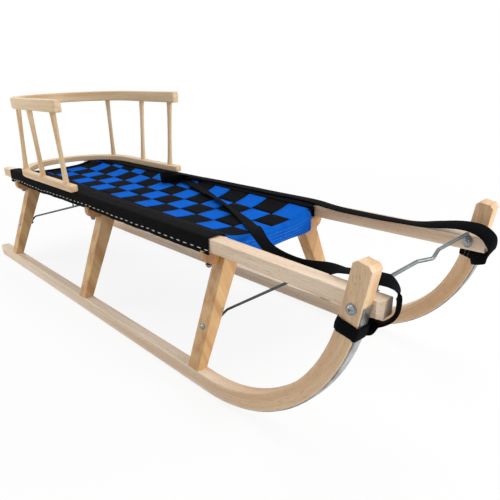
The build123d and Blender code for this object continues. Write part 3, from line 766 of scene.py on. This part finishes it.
def hem_height(x):
    """Lower edge of the hem: nearly even, a little higher at a cross-beam, deeper at the rear."""
    away = min(abs(x - middle) for middle in BEAM_MIDDLES)
    free = min(1.0, max(0.0, (away - 14 * MM) / (45 * MM)))
    ripple = 0.92 + 0.05 * math.sin(x / (31 * MM)) + 0.05 * math.sin(x / (13.7 * MM) + 0.8)
    deep = 5.2 * MM + 4.0 * MM * min(1.0, max(0.0, (-0.16 - x) / 0.18))
    return RAIL_BOTTOM + 0.9 * MM - deep * (0.8 + 0.2 * free) * ripple


def sleeve_edge(x, near):
    """Where the sleeve's inner edge lies on the webbing, from the middle."""
    if near:
        return 86.0 * MM - 0.050 * (0.242 - x)
    return min(101.0 * MM + 0.012 * (0.242 - x), rail_outer(x) - RAIL_WIDTH - 2 * MM)


def softness(x):
    """How far the loose cloth stands out of true at x, in millimetres: 0.6 at most."""
    return 0.35 * math.sin(x / (11 * MM)) + 0.25 * math.sin(x / (4.7 * MM) + 1.0)


def sleeve_section(x, side, near):
    outer = rail_outer(x) / MM
    inner = outer - RAIL_WIDTH / MM
    edge = sleeve_edge(x, near) / MM
    hem = hem_height(x) / MM
    soft = softness(x)
    points = []
    for share in (0.0, 0.3, 0.6, 0.85):
        d = edge + (inner - 3.0 - edge) * share
        points.append((d, web_height(d * MM) / MM + 2.6 + 0.25 * soft * share))
    points += [
        (inner - 1.0, 234.2), (inner + 3.0, 235.0), (inner + 12.0, 235.1), (outer - 2.5, 235.0),
        (outer + 0.3, 234.6), (outer + 1.4, 233.2), (outer + 1.7, 229.0), (outer + 1.6 + 0.3 * soft, 223.0),
        (outer + 1.8 + 0.5 * soft, 217.5), (outer + 2.1 + 0.8 * soft, hem + 3.4),
        (outer + 2.5 + soft, hem + 0.5), (outer + 2.0 + soft, hem - 0.2), (outer + 1.3 + soft, hem + 0.4),
        (outer + 0.7, 211.4), (outer - 3.0, 210.9), (inner + 4.0, 210.9), (inner - 0.6, 211.3),
        (inner - 1.3, 213.5), (inner - 1.5, 221.0), (inner - 2.5, 227.0),
    ]
    return [(x, side * d * MM, z * MM) for d, z in points]


def open_below(mesh):
    """Cuts the cloth away where a cross-beam meets the rail."""
    build = bmesh.new()
    build.from_mesh(mesh)
    cut = []
    for face in build.faces:
        middle = face.calc_center_median()
        under = middle.z < 212.3 * MM and abs(middle.y) < rail_outer(middle.x) + 0.9 * MM
        if under and min(abs(middle.x - beam) for beam in BEAM_MIDDLES) < BEAM_THICKNESS / 2 + 2.5 * MM:
            cut.append(face)
    bmesh.ops.delete(build, geom=cut, context="FACES")
    build.to_mesh(mesh)
    build.free()


def sleeve(name, side, near):
    stations = spread(SEAT_REAR, SEAT_FRONT, 208)
    made = loft(name, [sleeve_section(x, side, near) for x in stations], black_cloth)
    open_below(made.data)
    made = settle(thicken(made, 1.0 * MM))
    around = sleeve_section(0.0, side, near)
    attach(made, "root")
    return made


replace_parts(sleeve("seat_sleeve_cloth_right", -1, True), "seat_sleeve_right")
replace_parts(sleeve("seat_sleeve_cloth_left", 1, False), "seat_sleeve_left")

# %% [markdown]
# ## Running stitch
# White thread runs along each sleeve just above its hem, in long even stitches. One
# stitch is a short bead, and Geometry Nodes lay it along the hem at a fixed spacing.
# The thread is drawn about twice as thick as life, so that it shows.

# %% Running stitch
STITCH_PITCH = 17.5 * MM
STITCH_LENGTH = 10.0 * MM


def plain(name, colour, rough, metallic=0.0, sheen=0.0):
    """A small part's finish, with faint mottling so that it isn't one flat colour."""
    material, tree, shader = new_material(name)
    place = add_node(tree, "ShaderNodeTexCoord").outputs["Object"]
    spots = wire(tree, "ShaderNodeTexNoise", {"Vector": place, "Scale": 700.0, "Detail": 2.0})
    shade = ranged(tree, spots, (0.3, 0.7), (0.80, 1.0))
    mixed = mixed_colour(tree, 1.0, linear(colour), shade, "MULTIPLY")
    feed(tree, shader, {"Base Color": mixed, "Roughness": rough, "Metallic": metallic,
                        "Sheen Weight": sheen})
    return material


white_thread = plain("white_polyester_thread", "#E4E2DC", 0.7, sheen=0.2)
blue_thread = plain("blue_polyester_thread", "#4E9BEA", 0.7, sheen=0.2)
grey_thread = plain("grey_polyester_thread", "#7C7F84", 0.7, sheen=0.2)


def stitch_tree():
    """Beads of thread at a fixed spacing along the piece's own edges."""
    tree, sockets, given = geometry_tree("running_stitch", ("Pitch", "Length", "Thickness"), (), ("Thread",))
    line = wire(tree, "GeometryNodeMeshToCurve", {"Mesh": given["Geometry"]})
    spacing = {"Curve": line, "Length": given["Pitch"]}
    points = add_node(tree, "GeometryNodeCurveToPoints", spacing, mode="LENGTH").outputs
    bead = wire(tree, "GeometryNodeMeshUVSphere", {"Segments": 6, "Rings": 5, "Radius": 0.5})
    size = wire(tree, "ShaderNodeCombineXYZ",
                {"X": given["Thickness"], "Y": given["Thickness"], "Z": given["Length"]})
    placed = wire(tree, "GeometryNodeInstanceOnPoints",
                  {"Points": points[0], "Instance": bead, "Rotation": points["Rotation"], "Scale": size})
    whole = wire(tree, "GeometryNodeRealizeInstances", {"Geometry": placed})
    hand_on(tree, whole, given["Thread"])
    return tree, sockets


running, running_sockets = stitch_tree()


def stitches(name, lines, thread, pitch, length, thickness):
    """Stitches along polylines, each a list of points in metres."""
    mesh = bpy.data.meshes.new(name)
    places, edges = [], []
    for points in lines:
        first = len(places)
        places += [tuple(p) for p in points]
        edges += [(first + k, first + k + 1) for k in range(len(points) - 1)]
    mesh.from_pydata(places, edges, [])
    piece = link(name, mesh)
    values = {"Pitch": pitch, "Length": length, "Thickness": thickness, "Thread": thread}
    settle(run_nodes(piece, running, running_sockets, values))
    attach(piece, "root")
    return piece


def hem_line(side):
    points = []
    for x in spread(SEAT_REAR + 6 * MM, SEAT_FRONT - 5 * MM, 150):
        out = rail_outer(x) + (2.5 + 0.6 * softness(x)) * MM
        points.append((x, side * out, hem_height(x) + 6.8 * MM))
    return points


sleeve_stitches = stitches("sleeve_running_stitch", [hem_line(-1), hem_line(1)], white_thread,
                           STITCH_PITCH, STITCH_LENGTH, 1.6 * MM)
roll_lines = []
for drop in (6.0, 11.5, 17.5, 22.5):
    roll_lines.append([(306.2 * MM, y, web_height(y) - drop * MM)
                       for y in spread(-WRAP_NEAR + 12 * MM, WRAP_FAR - 3 * MM, 30)])
roll_stitches = stitches("front_roll_stitch", roll_lines, blue_thread, 3.4 * MM, 2.2 * MM, 0.7 * MM)
print("stitches:", len(sleeve_stitches.data.polygons) // 30, "and", len(roll_stitches.data.polygons) // 30)

# %% [markdown]
# ## Bands round the horns
# Each end of the pull strap is sewn into a band of the same webbing, pulled tight round
# the horn below its bolt. The webbing is thick there, so it stands in small folds on
# the outer side, and two rows of grey thread close it on the inner side.

# %% Bands round the horns
LEAN = math.radians(3.6)
BAND_TILT = math.radians(76.0)
RUNNER_RISE = 3.095 * MM


def runner_point(x, along, inward):
    """A point of the right runner: along its lean, and inward from its outer face."""
    return Vector((x, -TRACK_HALF + along * math.sin(LEAN) + inward * math.cos(LEAN),
                   RUNNER_RISE + along * math.cos(LEAN) - inward * math.sin(LEAN)))


BAND_CENTRE = runner_point(564.1 * MM, 198.5 * MM, 10.5 * MM)
BAND_INWARD = Vector((0, math.cos(LEAN), -math.sin(LEAN)))
BAND_RISING = Vector((math.cos(BAND_TILT), math.sin(LEAN) * math.sin(BAND_TILT),
                      math.cos(LEAN) * math.sin(BAND_TILT)))
BAND_AHEAD = BAND_INWARD.cross(BAND_RISING).normalized()
BAND_HALF_WIDTH = 8.5 * MM


def band_loop(share, side):
    """Once round the horn: share runs over the band's width from 0 to 1."""
    half_in, half_ahead = 12.1 * MM, 15.1 * MM
    centre = BAND_CENTRE + BAND_RISING * (2 * share - 1) * BAND_HALF_WIDTH
    plump = 0.7 * MM * math.sin(math.pi * share)
    points = []
    for k in range(72):
        turn = 2 * math.pi * k / 72
        square_in = math.copysign(abs(math.cos(turn)) ** 0.22, math.cos(turn))
        square_ahead = math.copysign(abs(math.sin(turn)) ** 0.22, math.sin(turn))
        fold = 0.90 * MM * math.sin(square_ahead * 13.0) if square_in < -0.85 else 0.0
        spot = (centre + BAND_INWARD * (half_in * square_in + math.copysign(plump, square_in) + fold)
                + BAND_AHEAD * square_ahead * (half_ahead + plump))
        points.append((spot.x, -side * spot.y, spot.z))
    return points


def horn_band(name, side):
    band = loft(name, [band_loop(share, side) for share in spread(0.0, 1.0, 9)], pull_webbing, closed=True)
    band = settle(thicken(band, 1.5 * MM, -1.0))
    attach(band, "root")
    return band


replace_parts(horn_band("horn_band_right", -1), "strap_band_right")
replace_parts(horn_band("horn_band_left", 1), "strap_band_left")
band_lines = []
for side in (-1, 1):
    for ahead in (-6.5, -1.0):
        row = []
        for share in (0.12, 0.5, 0.88):
            spot = (BAND_CENTRE + BAND_RISING * (2 * share - 1) * BAND_HALF_WIDTH
                    + BAND_INWARD * (13.4 * MM) + BAND_AHEAD * ahead * MM)
            row.append((spot.x, -side * spot.y, spot.z))
        band_lines.append(row)
stitches("band_stitch", band_lines, grey_thread, 3.6 * MM, 2.8 * MM, 0.9 * MM)

# %% [markdown]
# ## Bolts and nuts
# A dome-headed bolt goes through each horn into the side rail, another through each
# braced leg, and one up through each end of a cross-beam. What shows is a head on a
# washer on one side and a nut on the other. Their places are points that each carry
# the direction they face, and Geometry Nodes set one fastener on every point.

# %% Bolts and nuts
bright_zinc = plain("bright_zinc_plate", "#9A9FA2", 0.16, metallic=1.0)
dull_zinc = plain("dull_zinc_plate", "#83868A", 0.40, metallic=1.0)
# painted shade: a flat dark colour for the cross on a dome head, where the recess would lie in shade
painted_recess_shade = plain("painted_shade_recess", "#15171A", 0.6)


def fastener_tree(kind):
    """A dome head or a hexagon nut on its washer, one on each point."""
    tree, sockets, given = geometry_tree(kind, ("Radius",), (), ("Metal", "Recess"))
    joined = add_node(tree, "GeometryNodeJoinGeometry")

    def part(mesh, height, stretch, material, smooth=False):
        moved = wire(tree, "GeometryNodeTransform",
                     {"Geometry": mesh, "Translation": (0, 0, height), "Scale": stretch})
        shaded = wire(tree, "GeometryNodeSetShadeSmooth", {"Geometry": moved, "Shade Smooth": smooth})
        done = wire(tree, "GeometryNodeSetMaterial", {"Geometry": shaded, "Material": material})
        tree.links.new(done, joined.inputs[0])

    # everything is drawn one unit in radius, and scaled to the fastener's own
    washer = wire(tree, "GeometryNodeMeshCylinder", {"Vertices": 28, "Radius": 1.22, "Depth": 0.16})
    part(washer, 0.08, (1, 1, 1), given["Metal"])
    if kind == "dome_bolt":
        dome = wire(tree, "GeometryNodeMeshUVSphere", {"Segments": 28, "Rings": 14, "Radius": 1.0})
        part(dome, 0.14, (1, 1, 0.58), given["Metal"], smooth=True)
        # the cross is two dark bars set on the dome, painted shade in place of a cut recess
        for stretch in ((0.52, 0.13, 0.12), (0.13, 0.52, 0.12)):
            bar = wire(tree, "GeometryNodeMeshCube", {"Size": (1, 1, 1)})
            part(bar, 0.68, stretch, given["Recess"])
    else:
        nut = wire(tree, "GeometryNodeMeshCylinder", {"Vertices": 6, "Radius": 1.0, "Depth": 0.8})
        part(nut, 0.55, (1, 1, 1), given["Metal"])
        stub = wire(tree, "GeometryNodeMeshCylinder", {"Vertices": 16, "Radius": 0.52, "Depth": 1.1})
        part(stub, 0.75, (1, 1, 1), given["Metal"])
    facing = wire(tree, "GeometryNodeInputNamedAttribute", {"Name": "facing"}, data_type="FLOAT_VECTOR")
    turned = wire(tree, "FunctionNodeAlignRotationToVector", {"Vector": facing}, axis="Z")
    placed = wire(tree, "GeometryNodeInstanceOnPoints", {
        "Points": given["Geometry"], "Instance": joined.outputs[0],
        "Rotation": turned, "Scale": given["Radius"]})
    hand_on(tree, wire(tree, "GeometryNodeRealizeInstances", {"Geometry": placed}))
    return tree, sockets


fastener_trees = {kind: fastener_tree(kind) for kind in ("dome_bolt", "hexagon_nut")}


def fasteners(name, kind, spots, radius, metal, lone=()):
    """spots: (place, facing) for the right side, mirrored to the left. lone are not mirrored."""
    mesh = bpy.data.meshes.new(name)
    both = [(Vector(p), Vector(f)) for p, f in spots]
    both += [(Vector((p.x, -p.y, p.z)), Vector((f.x, -f.y, f.z))) for p, f in both]
    both += [(Vector(p), Vector(f)) for p, f in lone]
    mesh.from_pydata([p for p, f in both], [], [])
    facing = mesh.attributes.new("facing", "FLOAT_VECTOR", "POINT")
    for item, (p, f) in zip(facing.data, both):
        item.vector = f
    piece = link(name, mesh)
    values = {"Radius": radius, "Metal": metal, "Recess": painted_recess_shade}
    settle(run_nodes(piece, *fastener_trees[kind], values))
    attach(piece, "root")
    print(name, len(both))
    return piece


BOLT_X = 568.4 * MM
HORN_BOLT_RADIUS = 5.6 * MM
horn_face = runner_point(BOLT_X, 222.7 * MM, 0.0)
fasteners("horn_bolt_heads", "dome_bolt", [(horn_face, -BAND_INWARD)], HORN_BOLT_RADIUS, bright_zinc)
inner_face = -rail_outer(BOLT_X) + RAIL_WIDTH + 2.5 * MM
horn_nut = ((BOLT_X, inner_face, horn_face.z), (RAIL_FLARE, 1, 0))
fasteners("horn_bolt_nuts", "hexagon_nut", [horn_nut], HORN_BOLT_RADIUS, bright_zinc)

beam_spots = [((middle, -rail_outer(middle) + 6.5 * MM, BEAM_BOTTOM), (0, 0, -1)) for middle in BEAM_MIDDLES]
fasteners("crossbeam_nuts", "hexagon_nut", beam_spots, 4.4 * MM, dull_zinc)

BRACE_BOLT = {"rear": 101.0 * MM, "front": 92.0 * MM}
LEG_FOOT = 25 * MM            # where a leg stands, along the runner's lean
LEG_WIDTH_AT_FOOT = 20 * MM
foot_outer = runner_point(0, LEG_FOOT, 0)
foot_inner = runner_point(0, LEG_FOOT, LEG_WIDTH_AT_FOOT)
outer_slope = (-113.0 * MM - foot_outer.y) / (BEAM_BOTTOM - foot_outer.z)
inner_slope = (-80.0 * MM - foot_inner.y) / (BEAM_BOTTOM - foot_inner.z)


def brace_bolt(where):
    """Where a brace's bolt shows on the leg: its head outside and its nut inside."""
    x = TRESTLES[where] + 12.5 * MM
    z = BRACE_BOLT[where]
    facing_out = Vector((0, -1, outer_slope)).normalized()
    facing_in = Vector((0, 1, -inner_slope)).normalized()
    head = Vector((x, foot_outer.y + outer_slope * (z - foot_outer.z), z))
    nut = Vector((x, foot_inner.y + inner_slope * (z - foot_inner.z), z)) + facing_in * 2.5 * MM
    return (head, facing_out), (nut, facing_in)


rear_head, rear_nut = brace_bolt("rear")
front_head, front_nut = brace_bolt("front")
fasteners("brace_bolt_heads", "dome_bolt", [rear_head], 4.3 * MM, bright_zinc, lone=[front_head])
fasteners("brace_bolt_nuts", "hexagon_nut", [rear_nut], 4.2 * MM, dull_zinc, lone=[front_nut])

# %% [markdown]
# ## Stage and light
# A pale floor and a white surround, with large soft lamps, as for a shop picture.
# The camera sees the floor nearly white, and the floor still takes the sled's shadow.

# %% Floor and surround
def floor_piece():
    mesh = bpy.data.meshes.new("pale_floor")
    size = 14.0
    corners = [(-size, -size, 0), (size, -size, 0), (size, size, 0), (-size, size, 0)]
    mesh.from_pydata(corners, [], [(0, 1, 2, 3)])
    material = bpy.data.materials.new("pale_floor_paint")
    material.use_nodes = True
    tree = material.node_tree
    tree.nodes.clear()
    matt = wire(tree, "ShaderNodeBsdfDiffuse", {"Color": linear("#F4F4F4")})
    glow = wire(tree, "ShaderNodeEmission", {"Color": (1, 1, 1, 1), "Strength": 1.0})
    seen = add_node(tree, "ShaderNodeLightPath").outputs["Is Camera Ray"]
    place = add_node(tree, "ShaderNodeTexCoord").outputs["Object"]
    away = add_node(tree, "ShaderNodeVectorMath", {0: place}, operation="LENGTH").outputs["Value"]
    fading = ranged(tree, away, (0.5, 1.7), (0.87, 1.0))
    part = maths(tree, "MULTIPLY", seen, fading)
    mixed = wire(tree, "ShaderNodeMixShader", {0: part, 1: matt, 2: glow})
    output = add_node(tree, "ShaderNodeOutputMaterial")
    tree.links.new(mixed, output.inputs["Surface"])
    return link("pale_floor", mesh, material)


floor_piece()

world = bpy.data.worlds.new("soft_surround")
bpy.context.scene.world = world
world.use_nodes = True
tree = world.node_tree
tree.nodes.clear()
rays = add_node(tree, "ShaderNodeLightPath").outputs
seen = maths(tree, "MAXIMUM", rays["Is Camera Ray"], rays["Is Glossy Ray"])
strength = wire(tree, "ShaderNodeMapRange", {"Value": seen, 3: 0.36, 4: 1.0})
surround = wire(tree, "ShaderNodeBackground", {"Color": (1, 1, 1, 1), "Strength": strength})
add_node(tree, "ShaderNodeOutputWorld", {"Surface": surround})


def softbox(name, place, aim, size, power):
    lamp = bpy.data.lights.new(name, "AREA")
    lamp.shape = "RECTANGLE"
    lamp.size, lamp.size_y = size
    lamp.energy = power
    piece = bpy.data.objects.new(name, lamp)
    bpy.context.collection.objects.link(piece)
    piece.location = place
    piece.rotation_euler = (Vector(aim) - Vector(place)).to_track_quat("-Z", "Y").to_euler()
    return piece


softbox("overhead_softbox", (-0.3, 0.2, 2.6), (0, 0, 0.2), (2.4, 2.0), 37.0)
softbox("front_softbox", (2.0, 0.8, 0.9), (0.4, 0, 0.2), (1.2, 1.2), 30.0)
softbox("rear_softbox", (-0.8, -0.95, 0.6), (-0.5, -0.15, 0.1), (0.8, 0.8), 3.4)

bpy.context.scene.view_settings.view_transform = "Standard"
